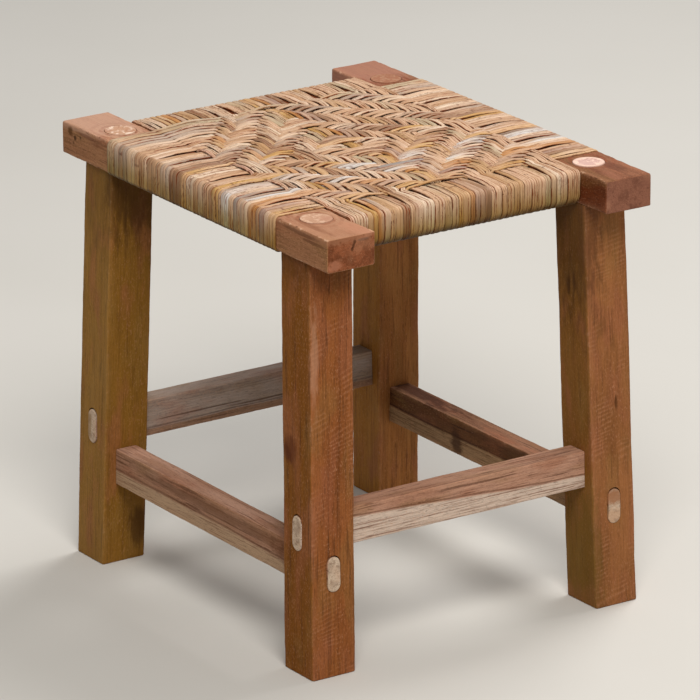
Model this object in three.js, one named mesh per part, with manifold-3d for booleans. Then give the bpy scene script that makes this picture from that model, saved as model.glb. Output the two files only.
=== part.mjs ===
// Low four-legged stool with a woven cane seat.
// Millimetres, +Z up. +X runs along the two long rails, -Y is the front, and the
// origin is on the floor, below the middle of the seat.

import * as THREE from 'three';
import { mergeVertices } from 'three/addons/utils/BufferGeometryUtils.js';
import Module from 'manifold-3d';

const wasm = await Module();
wasm.setup();

// Rails
const railTop = 408;
const railHeight = 30;
const railLength = 430;
const longRailWidth = 49;
const frameWidth = 342;
const crossRailWidth = 38;
const crossRailSetback = 38.5;
const bareRailEdge = 1.2;
const wrappedRailEdge = 4;

// Stub tenons of the cross rails, let into the long rails
const stubDepth = 6;
const stubWidth = 24;
const stubHeight = 16;

// Legs, which splay outwards from the rails to the floor. At the top each one stands a
// little outside the middle of the cross rail and inside the middle of the long rail
const legSide = 45;
const legEdge = 1.5;
const legOutset = 2;
const legInset = 1.5;
const legSplayX = 13.7;
const legSplayY = 8;

// Round tenon at the top of each leg, through the long rail
const roundTenonDiameter = 29;
const roundTenonProud = 0.5;

// Stretchers, with a round-ended tenon through the leg at each end
const stretcherHeight = 34;
const stretcherThickness = 22;
const stretcherEdge = 1.2;
const longStretcherMiddle = 94;
const crossStretcherMiddle = 129.5;
const slotTenonHeight = 32;
const slotTenonThickness = 15;
const slotTenonProud = 0.8;

// Cane seat: bands round the long rails, and bands round the cross rails. Between the
// rails each band parts into strands, which are woven with those of the other bands
const caneThickness = 1.9;
const caneSlit = 1.6;
const floatArch = 1.1;
const caneToLeg = 0.6;
const caneToRail = 0.8;
const crosswiseBands = 9;
const lengthwiseBands = 8;
const strandsPerBand = 3;

// Twill of the seat, in strands: length of a float, place of the first one from the
// middle, and reach of the plain corner at the front left
const floatStrands = 3;
const twillPhase = 5;
const plainCorner = 7;

// Clearances and the overrun of cuts
const jointGap = 0.3;
const caneGap = 0.3;
const overrun = 5;

// Segments of the arcs, as curve divisions
const edgeDivisions = 1;
const shoulderDivisions = 2;
const tenonDivisions = 5;
const roundTenonSides = 32;

// Places worked out from the sizes above
const railUnder = railTop - railHeight;
const railOuterY = frameWidth / 2;
const railInnerY = railOuterY - longRailWidth;
const crossOuterX = railLength / 2 - crossRailSetback;
const crossInnerX = crossOuterX - crossRailWidth;
const legTopX = crossOuterX - crossRailWidth / 2 + legOutset;
const legTopY = railOuterY - longRailWidth / 2 - legInset;
const wrappedHalfX = legTopX - legSide / 2 - caneToLeg;
const wovenHalfY = railInnerY - caneToRail;
const caneLift = (caneThickness + caneGap) / 2;

const wood = {
  leg: { color: 0x8a5f42, roughness: 0.72, metalness: 0 },
  rail: { color: 0xa8735a, roughness: 0.68, metalness: 0 },
  stretcher: { color: 0x93694a, roughness: 0.7, metalness: 0 }
};
const cane = { color: 0xcfb48c, roughness: 0.5, metalness: 0 };

const unitX = new THREE.Vector3(1, 0, 0);
const unitY = new THREE.Vector3(0, 1, 0);
const unitZ = new THREE.Vector3(0, 0, 1);

// Turns that lay an extrusion's length along X or Y and keep its outline upright
const lengthAlong = {
  x: new THREE.Matrix4().makeBasis(unitY, unitZ, unitX),
  y: new THREE.Matrix4().makeBasis(unitX, unitZ, unitY.clone().negate())
};

// Solid from a closed three.js geometry
function solidOf(geometry) {
  geometry.deleteAttribute('normal');
  geometry.deleteAttribute('uv');
  const merged = mergeVertices(geometry);
  const vertProperties = Float32Array.from(merged.attributes.position.array);
  const triVerts = Uint32Array.from(merged.index.array);
  return new wasm.Manifold(new wasm.Mesh({ numProp: 3, vertProperties, triVerts }));
}

// three.js geometry from a solid
function geometryOf(solid) {
  const { vertProperties, triVerts } = solid.getMesh();
  const geometry = new THREE.BufferGeometry();
  geometry.setAttribute('position', new THREE.BufferAttribute(vertProperties, 3));
  geometry.setIndex(new THREE.BufferAttribute(triVerts, 1));
  geometry.computeVertexNormals();
  return geometry;
}

// Outline of a rectangle with rounded corners, centred on the origin
function roundedRectangle(width, height, radius) {
  const x = width / 2 - radius;
  const y = height / 2 - radius;
  const shape = new THREE.Shape();
  shape.absarc(x, -y, radius, -Math.PI / 2, 0);
  shape.absarc(x, y, radius, 0, Math.PI / 2);
  shape.absarc(-x, y, radius, Math.PI / 2, Math.PI);
  shape.absarc(-x, -y, radius, Math.PI, Math.PI * 1.5);
  shape.closePath();
  return shape;
}

// Upright outline with a half circle at each end
function roundEndedSlot(width, height) {
  const radius = width / 2;
  const y = height / 2 - radius;
  const shape = new THREE.Shape();
  shape.absarc(0, y, radius, 0, Math.PI);
  shape.absarc(0, -y, radius, Math.PI, Math.PI * 2);
  shape.closePath();
  return shape;
}

// Outline drawn out along an axis, with its middle at the given place
function bar(outline, axis, length, place, divisions) {
  const geometry = new THREE.ExtrudeGeometry(outline, {
    depth: length,
    bevelEnabled: false,
    curveSegments: divisions
  });
  geometry.translate(0, 0, -length / 2);
  geometry.applyMatrix4(lengthAlong[axis]);
  geometry.translate(place.x, place.y, place.z);
  return solidOf(geometry);
}

// Middle of a leg's level section at a height
function legMiddle(sideX, sideY, z) {
  const drop = (railUnder - z) / railUnder;
  const x = sideX * (legTopX + legSplayX * drop);
  const y = sideY * (legTopY + legSplayY * drop);
  return new THREE.Vector3(x, y, z);
}

// Slant of a leg: a prism on the origin goes to its splayed place
function legSlant(sideX, sideY) {
  const foot = legMiddle(sideX, sideY, 0);
  const top = legMiddle(sideX, sideY, railUnder);
  const slant = new THREE.Matrix4();
  slant.set(
    1, 0, (top.x - foot.x) / railUnder, foot.x,
    0, 1, (top.y - foot.y) / railUnder, foot.y,
    0, 0, 1, 0,
    0, 0, 0, 1
  );
  return slant;
}

// Leg's square shaft from the floor to the rail, grown on all sides by a margin
function legShaft(sideX, sideY, margin) {
  const side = legSide + 2 * margin;
  const geometry = new THREE.ExtrudeGeometry(roundedRectangle(side, side, legEdge), {
    depth: railUnder,
    bevelEnabled: false,
    curveSegments: edgeDivisions
  });
  geometry.applyMatrix4(legSlant(sideX, sideY));
  return solidOf(geometry);
}

// Round tenon on the leg's slant, from inside the leg to a height
function roundTenon(sideX, sideY, diameter, top) {
  const bottom = railUnder - overrun;
  const height = top - bottom;
  const geometry = new THREE.CylinderGeometry(diameter / 2, diameter / 2, height, roundTenonSides);
  geometry.rotateX(Math.PI / 2);
  geometry.translate(0, 0, bottom + height / 2);
  geometry.applyMatrix4(legSlant(sideX, sideY));
  return solidOf(geometry);
}

// Slot through a leg for the tenon of a stretcher that runs along an axis
function legSlot(sideX, sideY, axis, height) {
  const outline = roundEndedSlot(slotTenonThickness + 2 * jointGap, slotTenonHeight + 2 * jointGap);
  const place = legMiddle(sideX, sideY, height);
  return bar(outline, axis, legSide + 2 * overrun, place, tenonDivisions);
}

function leg(sideX, sideY) {
  const tenon = roundTenon(sideX, sideY, roundTenonDiameter, railTop + roundTenonProud);
  const slots = legSlot(sideX, sideY, 'x', longStretcherMiddle)
    .add(legSlot(sideX, sideY, 'y', crossStretcherMiddle));
  return legShaft(sideX, sideY, 0).add(tenon).subtract(slots);
}

// Long rail: eased edges under the cane, crisp ones at the bare ends
function longRail(sideY) {
  const y = sideY * (railOuterY - longRailWidth / 2);
  const z = railTop - railHeight / 2;
  const eased = roundedRectangle(longRailWidth, railHeight, wrappedRailEdge);
  const crisp = roundedRectangle(longRailWidth, railHeight, bareRailEdge);
  const bareLength = railLength / 2 - wrappedHalfX;
  const bareMiddle = wrappedHalfX + bareLength / 2;
  let rail = bar(eased, 'x', railLength, new THREE.Vector3(0, y, z), edgeDivisions);
  for (const sideX of [-1, 1]) {
    const place = new THREE.Vector3(sideX * bareMiddle, y, z);
    rail = rail.add(bar(crisp, 'x', bareLength, place, edgeDivisions));
  }
  for (const sideX of [-1, 1]) {
    rail = rail.subtract(
      roundTenon(sideX, sideY, roundTenonDiameter + 2 * jointGap, railTop + overrun)
    );
    rail = rail.subtract(stub(sideX, sideY, jointGap));
  }
  return rail;
}

// Stub tenon of a cross rail, or the mortise for it when grown by a margin
function stub(sideX, sideY, margin) {
  const width = stubWidth + 2 * margin;
  const height = stubHeight + 2 * margin;
  const inner = railInnerY - overrun;
  const outer = railInnerY + stubDepth + margin;
  const outline = roundedRectangle(width, height, bareRailEdge);
  const place = new THREE.Vector3(
    sideX * (crossInnerX + crossRailWidth / 2),
    sideY * (inner + outer) / 2,
    railTop - railHeight / 2
  );
  return bar(outline, 'y', outer - inner, place, edgeDivisions);
}

function crossRail(sideX) {
  const place = new THREE.Vector3(
    sideX * (crossInnerX + crossRailWidth / 2),
    0,
    railTop - railHeight / 2
  );
  const outline = roundedRectangle(crossRailWidth, railHeight, wrappedRailEdge);
  return bar(outline, 'y', 2 * railInnerY, place, edgeDivisions)
    .add(stub(sideX, -1, 0))
    .add(stub(sideX, 1, 0));
}

// Stretcher between two legs: shoulders against their inner faces, and tenons that
// pass through and end just proud of their outer faces
function stretcher(axis, side) {
  const alongX = axis === 'x';
  const middle = alongX ? longStretcherMiddle : crossStretcherMiddle;
  const near = alongX ? legMiddle(-1, side, middle) : legMiddle(side, -1, middle);
  const far = alongX ? legMiddle(1, side, middle) : legMiddle(side, 1, middle);
  const place = near.clone().add(far).multiplyScalar(1 / 2);
  const reach = near.distanceTo(far);
  const section = roundedRectangle(stretcherThickness, stretcherHeight, stretcherEdge);
  const legs = alongX
    ? legShaft(-1, side, jointGap).add(legShaft(1, side, jointGap))
    : legShaft(side, -1, jointGap).add(legShaft(side, 1, jointGap));
  const body = bar(section, axis, reach, place, edgeDivisions).subtract(legs);
  const slot = roundEndedSlot(slotTenonThickness, slotTenonHeight);
  const tenons = bar(slot, axis, reach + 2 * legSide, place, tenonDivisions);
  return body.add(tenons.intersect(tenonLimit(axis, place)));
}

// Slab between the outer faces of the legs, which slope, and a little past them
function tenonLimit(axis, place) {
  const topReach = axis === 'x' ? legTopX : legTopY;
  const splay = axis === 'x' ? legSplayX : legSplayY;
  const top = topReach + legSide / 2 + slotTenonProud;
  const bottom = top + splay;
  const outline = new THREE.Shape();
  outline.moveTo(-bottom, 0);
  outline.lineTo(bottom, 0);
  outline.lineTo(top, railUnder);
  outline.lineTo(-top, railUnder);
  outline.closePath();
  const across = axis === 'x' ? 'y' : 'x';
  const centre = axis === 'x'
    ? new THREE.Vector3(0, place.y, 0)
    : new THREE.Vector3(place.x, 0, 0);
  return bar(outline, across, legSide, centre, edgeDivisions);
}

// Edges of evenly spaced bands or strands that fill a width, from the lowest side up
function evenEdges(count, lowest, highest) {
  const pitch = (highest - lowest + caneSlit) / count;
  const edges = [];
  for (let i = 0; i < count; i += 1) {
    const low = lowest + i * pitch;
    edges.push([low, low + pitch - caneSlit]);
  }
  return edges;
}

// Whether a strand round the long rails passes over one round the cross rails: a twill
// mirrored at both middles of the seat, but for one corner
function crosswiseIsOver(crosswise, lengthwise) {
  const outward = Math.abs(crosswise - (crosswiseBands * strandsPerBand - 1) / 2);
  const half = lengthwiseBands * strandsPerBand / 2;
  const fromMiddle = lengthwise < half ? half - 1 - lengthwise : lengthwise - half;
  const step = Math.floor(outward + fromMiddle + twillPhase);
  return crosswise + lengthwise < plainCorner || step % (2 * floatStrands) < floatStrands;
}

// One side of a band that goes round two rails: the wood's side when cover is zero,
// the outside when cover is the thickness of the cane
function beltOutline(path, railOuter, cover, topRun, underRun) {
  const radius = wrappedRailEdge + caneGap + cover;
  const corner = railOuter - wrappedRailEdge;
  const highCorner = railTop - wrappedRailEdge;
  const lowCorner = railUnder + wrappedRailEdge;
  const [[start, startRise], ...rest] = underRun;
  path.moveTo(start, railUnder - caneGap - cover + startRise);
  for (const [u, rise] of rest) {
    path.lineTo(u, railUnder - caneGap - cover + rise);
  }
  path.absarc(corner, lowCorner, radius, -Math.PI / 2, 0);
  path.absarc(corner, highCorner, radius, 0, Math.PI / 2);
  for (const [u, rise] of topRun.toReversed()) {
    path.lineTo(u, railTop + caneGap + cover + rise);
  }
  path.absarc(-corner, highCorner, radius, Math.PI / 2, Math.PI);
  path.absarc(-corner, lowCorner, radius, Math.PI, Math.PI * 1.5);
  path.closePath();
  return path;
}

// Places and rises of a strand along the top, between the flats of two rails: up or
// down between crossing strands, and arched where it floats over several
function wovenRun(flat, crossings, isOver) {
  const run = [[-flat - overrun, 0], [-flat, 0]];
  crossings.forEach(([low, high], index) => {
    const over = isOver(index);
    const rise = over ? caneLift : -caneLift;
    const starts = index === 0 || isOver(index - 1) !== over;
    const ends = index === crossings.length - 1 || isOver(index + 1) !== over;
    if (starts) {
      run.push([low, rise]);
    }
    if (ends) {
      const [start] = run.at(-1);
      if (over && !starts) {
        run.push([(start + high) / 2, rise + floatArch]);
      }
      run.push([high, rise]);
    }
  });
  run.push([flat, 0], [flat + overrun, 0]);
  return run;
}

// Outline of a strand: its run on the wood's side, and back along its outside
function strandOutline(run) {
  const shape = new THREE.Shape();
  const underside = railTop + caneGap;
  const [[start, startRise], ...rest] = run;
  shape.moveTo(start, underside + startRise);
  for (const [u, rise] of rest) {
    shape.lineTo(u, underside + rise);
  }
  for (const [u, rise] of run.toReversed()) {
    shape.lineTo(u, underside + caneThickness + rise);
  }
  shape.closePath();
  return shape;
}

// Band of cane round two rails, open on top between them
function bandBody(axis, railOuter, flat, underRun, [low, high]) {
  const topRun = [[-flat, 0], [flat, 0]];
  const shape = beltOutline(new THREE.Shape(), railOuter, caneThickness, topRun, underRun);
  shape.holes.push(beltOutline(new THREE.Path(), railOuter, 0, topRun, underRun));
  const middle = (low + high) / 2;
  const place = axis === 'x' ? new THREE.Vector3(middle, 0, 0) : new THREE.Vector3(0, middle, 0);
  const opening = roundedRectangle(2 * flat, 2 * overrun, caneSlit);
  const above = place.clone().add(new THREE.Vector3(0, 0, railTop));
  return bar(shape, axis, high - low, place, shoulderDivisions)
    .subtract(bar(opening, axis, high - low + 2 * overrun, above, edgeDivisions));
}

// Band with its strands. The place of a strand's outline is its middle
function wovenBand(axis, body, strands, flat, crossings, isOver) {
  return strands.reduce((solid, [low, high], index) => {
    const run = wovenRun(flat, crossings, (crossing) => isOver(index, crossing));
    const middle = (low + high) / 2;
    const place = axis === 'x' ? new THREE.Vector3(middle, 0, 0) : new THREE.Vector3(0, middle, 0);
    return solid.add(bar(strandOutline(run), axis, high - low, place, edgeDivisions));
  }, body);
}

function named(name, geometry, finish) {
  const mesh = new THREE.Mesh(geometry, new THREE.MeshStandardMaterial(finish));
  mesh.name = name;
  return mesh;
}

function frameGroup() {
  const group = new THREE.Group();
  const sidesX = [['left', -1], ['right', 1]];
  const sidesY = [['front', -1], ['back', 1]];
  for (const [wordY, sideY] of sidesY) {
    for (const [wordX, sideX] of sidesX) {
      group.add(named(`leg_${wordY}_${wordX}`, geometryOf(leg(sideX, sideY)), wood.leg));
    }
    group.add(named(`rail_${wordY}`, geometryOf(longRail(sideY)), wood.rail));
    group.add(named(`stretcher_${wordY}`, geometryOf(stretcher('x', sideY)), wood.stretcher));
  }
  for (const [wordX, sideX] of sidesX) {
    group.add(named(`cross_rail_${wordX}`, geometryOf(crossRail(sideX)), wood.rail));
    group.add(named(`stretcher_${wordX}`, geometryOf(stretcher('y', sideX)), wood.stretcher));
  }
  return group;
}

// The bands round the long rails lie flat underneath. Those round the cross rails
// pass below them there
function seatGroup() {
  const group = new THREE.Group();
  const crosswise = evenEdges(crosswiseBands, -wrappedHalfX, wrappedHalfX);
  const lengthwise = evenEdges(lengthwiseBands, -wovenHalfY, wovenHalfY);
  const crosswiseStrands = crosswise.map((edges) => evenEdges(strandsPerBand, ...edges));
  const lengthwiseStrands = lengthwise.map((edges) => evenEdges(strandsPerBand, ...edges));
  const crosswiseFlat = railInnerY + wrappedRailEdge;
  const lengthwiseFlat = crossInnerX + wrappedRailEdge;
  const crosswiseUnder = [[-crosswiseFlat, 0], [crosswiseFlat, 0]];
  const lengthwiseUnder = [
    [-lengthwiseFlat, 0],
    [-wrappedHalfX, -2 * caneLift],
    [wrappedHalfX, -2 * caneLift],
    [lengthwiseFlat, 0]
  ];
  crosswise.forEach((edges, index) => {
    const first = index * strandsPerBand;
    const isOver = (strand, crossing) => crosswiseIsOver(first + strand, crossing);
    const body = bandBody('x', railOuterY, crosswiseFlat, crosswiseUnder, edges);
    const strands = crosswiseStrands[index];
    const solid = wovenBand('x', body, strands, crosswiseFlat, lengthwiseStrands.flat(), isOver);
    group.add(named(`cane_crosswise_${index + 1}`, geometryOf(solid), cane));
  });
  lengthwise.forEach((edges, index) => {
    const first = index * strandsPerBand;
    const isOver = (strand, crossing) => !crosswiseIsOver(crossing, first + strand);
    const body = bandBody('y', crossOuterX, lengthwiseFlat, lengthwiseUnder, edges);
    const strands = lengthwiseStrands[index];
    const solid = wovenBand('y', body, strands, lengthwiseFlat, crosswiseStrands.flat(), isOver);
    group.add(named(`cane_lengthwise_${index + 1}`, geometryOf(solid), cane));
  });
  return group;
}

const stool = new THREE.Group();
stool.name = 'cane_seat_stool';
stool.add(frameGroup());
stool.add(seatGroup());

export default stool;
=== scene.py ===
import math

import bpy
import numpy as np
from mathutils import Matrix, Vector, noise


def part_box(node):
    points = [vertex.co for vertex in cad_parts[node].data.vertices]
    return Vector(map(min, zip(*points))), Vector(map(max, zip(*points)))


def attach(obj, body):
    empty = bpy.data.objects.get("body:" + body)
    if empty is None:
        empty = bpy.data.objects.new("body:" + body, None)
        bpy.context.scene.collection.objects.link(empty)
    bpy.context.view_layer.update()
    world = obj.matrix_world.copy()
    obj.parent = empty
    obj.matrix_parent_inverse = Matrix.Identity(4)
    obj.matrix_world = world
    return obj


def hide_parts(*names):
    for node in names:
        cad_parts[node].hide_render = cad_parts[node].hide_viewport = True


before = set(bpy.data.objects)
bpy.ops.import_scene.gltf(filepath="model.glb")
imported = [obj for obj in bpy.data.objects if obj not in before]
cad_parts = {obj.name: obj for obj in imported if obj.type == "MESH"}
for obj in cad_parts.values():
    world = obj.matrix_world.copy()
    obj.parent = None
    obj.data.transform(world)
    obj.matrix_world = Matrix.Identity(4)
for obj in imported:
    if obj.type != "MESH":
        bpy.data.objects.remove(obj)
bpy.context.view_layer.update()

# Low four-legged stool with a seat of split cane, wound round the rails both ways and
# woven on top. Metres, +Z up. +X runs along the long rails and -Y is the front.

MM = 0.001
SEED = 11
BODY = "root"

# Photograph: the camera's place, its turn, and its field of view on a square picture
CAMERA_PLACE = (4.31188, -2.90530, 1.99858)
CAMERA_AZIMUTH = 56.06
CAMERA_ELEVATION = 18.92
CAMERA_ROLL = -0.23
CAMERA_LENS = 314.17
CAMERA_SENSOR = 36.0

# Frame, read off the solids
RAIL_LOW, RAIL_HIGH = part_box("rail_back")
CROSS_LOW, CROSS_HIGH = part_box("cross_rail_right")
LEG_LOW, LEG_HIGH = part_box("leg_back_right")
LONG_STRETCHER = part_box("stretcher_back")
CROSS_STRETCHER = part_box("stretcher_right")
STRETCHERS = (LONG_STRETCHER, CROSS_STRETCHER)
RAIL_TOP = RAIL_HIGH.z
RAIL_UNDER = RAIL_LOW.z
RAIL_LEVEL = (RAIL_TOP + RAIL_UNDER) / 2
RAIL_HALF_LENGTH = RAIL_HIGH.x
RAIL_MIDDLE_Y = (RAIL_LOW.y + RAIL_HIGH.y) / 2
RAIL_WIDTH = RAIL_HIGH.y - RAIL_LOW.y
RAIL_HEIGHT = RAIL_TOP - RAIL_UNDER
CROSS_MIDDLE_X = (CROSS_LOW.x + CROSS_HIGH.x) / 2
CROSS_WIDTH = CROSS_HIGH.x - CROSS_LOW.x
WRAPPED_HALF_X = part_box("cane_crosswise_9")[1].x
WOVEN_HALF_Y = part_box("cane_lengthwise_8")[1].y

# Legs and joints
LEG_SIDE = 45 * MM
LEG_TOP = np.array(LEG_LOW[:2]) + LEG_SIDE / 2
LEG_SPLAY = np.array(LEG_HIGH[:2]) - LEG_SIDE / 2 - LEG_TOP
ROUND_TENON = 29 * MM
ROUND_TENON_TOP = LEG_HIGH.z
SLOT_TENON = (13.6 * MM, 32 * MM)
STUB_TENON = (24 * MM, 16 * MM)
JOINT_GAP = 0.35 * MM
TENON_PROUD = 0.8 * MM
SLOT_GAP = 0.9 * MM
WRAPPED_EDGE = 4 * MM
CROSS_UNDER_EDGE = 10 * MM
CUT_OVERRUN = 5 * MM

# Cane
RAGGED_EDGE = 0.13 * MM
RAGGED_LENGTH = 9 * MM
CROSSWISE_TURNS = 45
LENGTHWISE_TURNS = 40
TURNS_PER_BAND = 5
CANE_THICKNESS = 1.55 * MM
CANE_TO_WOOD = 0.35 * MM
CANE_LIFT = 0.95 * MM
CANE_SLIT = 0.24 * MM
FLOAT_TURNS = 5
TWILL_PHASE = 8
LONG_FLOAT_TURNS = 12
LONG_FLOAT_REACH = 10


def generator(*key):
    return np.random.default_rng([SEED, *key])


# Shader nodes


def linear(code):
    """Linear colour of a hex code."""
    parts = [int(code[i:i + 2], 16) / 255 for i in (0, 2, 4)]
    curve = [c / 12.92 if c <= 0.04045 else ((c + 0.055) / 1.055) ** 2.4 for c in parts]
    return (*curve, 1.0)


class Shader:
    """A material with short calls for the nodes that it needs. A colour may be a hex code."""

    def __init__(self, name):
        self.material = bpy.data.materials.new(name)
        self.material.use_nodes = True
        self.tree = self.material.node_tree
        self.surface = self.tree.nodes["Principled BSDF"]

    def put(self, socket, value):
        if isinstance(value, bpy.types.NodeSocket):
            self.tree.links.new(value, socket)
        else:
            socket.default_value = linear(value) if isinstance(value, str) else value

    def node(self, kind, inputs, output=0, **settings):
        made = self.tree.nodes.new("ShaderNode" + kind)
        for key, value in settings.items():
            setattr(made, key, value)
        for key, value in inputs.items():
            self.put(made.inputs[key], value)
        return made.outputs[output]

    def attribute(self, name, output="Fac"):
        return self.node("Attribute", {}, output, attribute_name=name)

    def coordinate(self, kind):
        return self.node("TexCoord", {}, kind)

    def part(self, vector, axis):
        return self.node("SeparateXYZ", {0: vector}, axis)

    def maths(self, operation, *values):
        return self.node("Math", dict(enumerate(values)), operation=operation)

    def add(self, first, second):
        return self.maths("ADD", first, second)

    def times(self, first, second):
        return self.maths("MULTIPLY", first, second)

    def off(self, value, middle):
        """How far a value is from a middle, to either side."""
        return self.maths("ABSOLUTE", self.maths("SUBTRACT", value, middle))

    def swing(self, value, reach):
        """A noise as a shift to both sides of nought."""
        return self.times(self.maths("SUBTRACT", value, 0.5), reach)

    def vector(self, operation, *values, output=0):
        return self.node("VectorMath", dict(enumerate(values)), output, operation=operation)

    def length(self, vector):
        return self.vector("LENGTH", vector, output="Value")

    def dot(self, first, second):
        return self.vector("DOT_PRODUCT", first, second, output="Value")

    def noise(self, place, stretch, detail=2.0, rough=0.5, warp=0.0):
        """Noise on a place stretched along each axis. The last factor counts for the rest."""
        stretched = self.vector("MULTIPLY", place, (*stretch, stretch[-1])[:3])
        inputs = {"Vector": stretched, "Scale": 1.0, "Detail": detail, "Roughness": rough}
        return self.node("TexNoise", {**inputs, "Distortion": warp})

    def noises(self, place, settings):
        return {name: self.noise(place, *setting) for name, setting in settings.items()}

    def remap(self, value, low, high, to_low=0.0, to_high=1.0):
        inputs = {0: value, 1: low, 2: high, 3: to_low, 4: to_high}
        return self.node("MapRange", inputs, interpolation_type="SMOOTHSTEP")

    def mix(self, share, first, second, blend="MIX"):
        inputs = {0: share, 6: first, 7: second}
        return self.node("Mix", inputs, 2, data_type="RGBA", blend_type=blend)

    def tint(self, colour, tone, value, *reach):
        """A colour with some of a tone, as much as the remapped value says."""
        return self.mix(self.remap(value, *reach), colour, tone)

    def tints(self, colour, noises, layers):
        for tone, name, *reach in layers:
            colour = self.tint(colour, tone, noises[name], *reach)
        return colour

    def scaled(self, colour, shares):
        """A colour times a share for each channel."""
        shares = self.node("CombineXYZ", dict(enumerate(shares)))
        return self.mix(1.0, colour, shares, "MULTIPLY")

    def finish(self, colour, roughness, height, depth, specular):
        self.put(self.surface.inputs["Base Color"], colour)
        self.put(self.surface.inputs["Roughness"], roughness)
        self.put(self.surface.inputs["Specular IOR Level"], specular)
        bump = self.node("Bump", {"Height": height, "Strength": 1.0, "Distance": depth})
        self.put(self.surface.inputs["Normal"], bump)
        return self.material


# Cane materials: one for each tone

CANE_TONES = {
    "beige": ("d8b293", "a3774f"),
    "pale": ("dfc5ab", "bc9b80"),
    "tan": ("c49c7b", "926b4a"),
    "honey": ("c8a076", "9a7450"),
    "golden": ("c99d60", "9a6f3f"),
    # A pale grey tone: partly the cane's own, partly a painted sky reflection
    "orange": ("bf8650", "8a5831"),
    "silver": ("d8cfc8", "a0938b"),
    "grey": ("b9a18e", "866f60"),
    "slate": ("9c9089", "6c615a"),
    "mauve": ("ad8c7b", "785b4e"),
    "olive": ("bfa98a", "8f785b"),
    "brown": ("a27c60", "694b39"),
    "pink": ("d9b199", "b08369"),
}
CANE_BARK = "572207"
# Tone of the strips' edges: bark and grime, and painted shade in the crevices between strips
CANE_EDGE_DIRT_AND_SHADE = "823a10"
# Tone of the painted shade on wood under the cane
CANE_SHADE = "6c3214"
# Painted shade on faces of the cane that look downward
CANE_UNDER_SHADE = "2a160a"
# Painted shade on the lower sides of the seat, darker and yellower
CANE_LOW_SHADE_TINT = (0.50, 0.45, 0.23, 1)
CANE_SPECULAR = 0.12
CANE_BUMP = 0.14 * MM
JOINTS_PER_METRE = 3.6

# Noises on a strip: stretch along it, across it and from strip to strip, detail, roughness
CANE_NOISES = {
    "fine": ((60, 4200, 9), 3, 0.6),
    "broad": ((16, 1100, 17), 3, 0.6),
    "slow": ((14, 50, 31), 3),
    "turn": ((9, 30, 53), 2),
    "own": ((15, 0, 37), 1),
    "crowd": ((24, 90, 71), 1),
    "dashes": ((260, 1300, 41), 2),
    "ragged": ((150, 500, 29), 2),
    "bark": ((20, 0, 83), 1),
}
# Tones that come and go along a strip: amber, earth and a pale bloom
CANE_TINTS = (
    ("b47c45", "slow", 0.48, 0.70, 0.0, 0.34),
    ("6e4529", "turn", 0.54, 0.72, 0.0, 0.5),
    ("e3cdbb", "turn", 0.28, 0.46, 0.4, 0.0),
)
# How dark and how light the fibres make red, green and blue
CANE_FIBRE = ((0.74, 1.13), (0.70, 1.18), (0.61, 1.28))


def cane_material(tone):
    make = Shader("cane_" + tone)
    run = make.attribute("strip", "Vector")
    noises = make.noises(run, CANE_NOISES)
    fine, broad = noises["fine"], noises["broad"]

    # Fibres: fine streaks along the strip, over broader ones and slow changes of tone
    streaks = make.times(make.remap(broad, 0.46, 0.68), 0.7)
    own = make.remap(noises["own"], 0.4, 0.58, 0.36, 1.0)
    usual, toned = (make.mix(streaks, *CANE_TONES[name]) for name in ("beige", tone))
    colour = make.tints(make.mix(own, usual, toned), noises, CANE_TINTS)
    colour = make.scaled(colour, [make.remap(fine, 0.3, 0.72, *reach) for reach in CANE_FIBRE])

    # Short dark dashes, where bark was left on, crowded in places
    dashes = make.add(noises["dashes"], make.remap(noises["crowd"], 0.45, 0.68, -0.14, 0.05))
    colour = make.tint(colour, CANE_BARK, dashes, 0.60, 0.69, 0.0, 0.7)

    # Joints of the cane: narrow dark rings
    along = make.times(make.part(run, "X"), JOINTS_PER_METRE)
    spot = make.maths("FRACT", make.add(along, make.part(run, "Z")))
    ring = make.off(make.add(spot, make.swing(fine, 0.02)), 0.5)
    colour = make.tint(colour, CANE_BARK, ring, 0.003, 0.0055, 0.5, 0.0)

    # Edges are darker: bark and grime, and painted shade in the crevices, more of it lower down
    edge = make.add(make.attribute("edge"), make.remap(noises["ragged"], 0.3, 0.7, -0.1, 0.14))
    level = make.part(make.coordinate("Object"), "Z")
    # Share that grows towards the bottom of the seat, for the painted shade there
    low = make.remap(level, RAIL_UNDER + 5 * MM, RAIL_TOP + 2 * MM, 1.0, 0.0)
    dirt_and_shade = make.add(make.times(low, 0.08), 0.92)
    dirt_and_shade = make.times(make.remap(edge, 0.80, 1.01), dirt_and_shade)
    dirt_and_shade = make.times(dirt_and_shade, make.remap(noises["bark"], 0.4, 0.6, 0.5, 1.0))
    colour = make.mix(dirt_and_shade, colour, CANE_EDGE_DIRT_AND_SHADE)

    # Painted shade: sides darker and yellower towards the bottom, downward faces darker still
    colour = make.mix(low, colour, make.mix(1.0, colour, CANE_LOW_SHADE_TINT, "MULTIPLY"))
    downward = make.part(make.coordinate("Normal"), "Z")
    colour = make.tint(colour, CANE_UNDER_SHADE, downward, -0.8, -0.1, 0.7, 0.0)

    roughness = make.remap(fine, 0.2, 0.8, 0.34, 0.58)
    height = make.add(fine, make.times(broad, 0.8))
    height = make.add(height, make.remap(dashes, 0.58, 0.68, 0.0, -0.6))
    return make.finish(colour, roughness, height, CANE_BUMP, CANE_SPECULAR)


# Wood materials

PALE_FIBRE = "c4906e"
CHIP_PALE = "d9b193"
CLOUD_RED = "9a5c40"
CLOUD_GREEN = "8a6a38"
WOOD_SPECULAR = 0.1
WOOD_BUMP = 0.18 * MM
SAW_SLANT = (1.0, -0.05, -0.22)
SAW_PITCH = 4.4 * MM
# Arcs of grain round a tenon's end: radius, half width and strength
HALO_RED = "86462e"
HALO_RINGS = ((15.5 * MM, 2.4 * MM, 0.75), (23 * MM, 3 * MM, 0.4))

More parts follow.
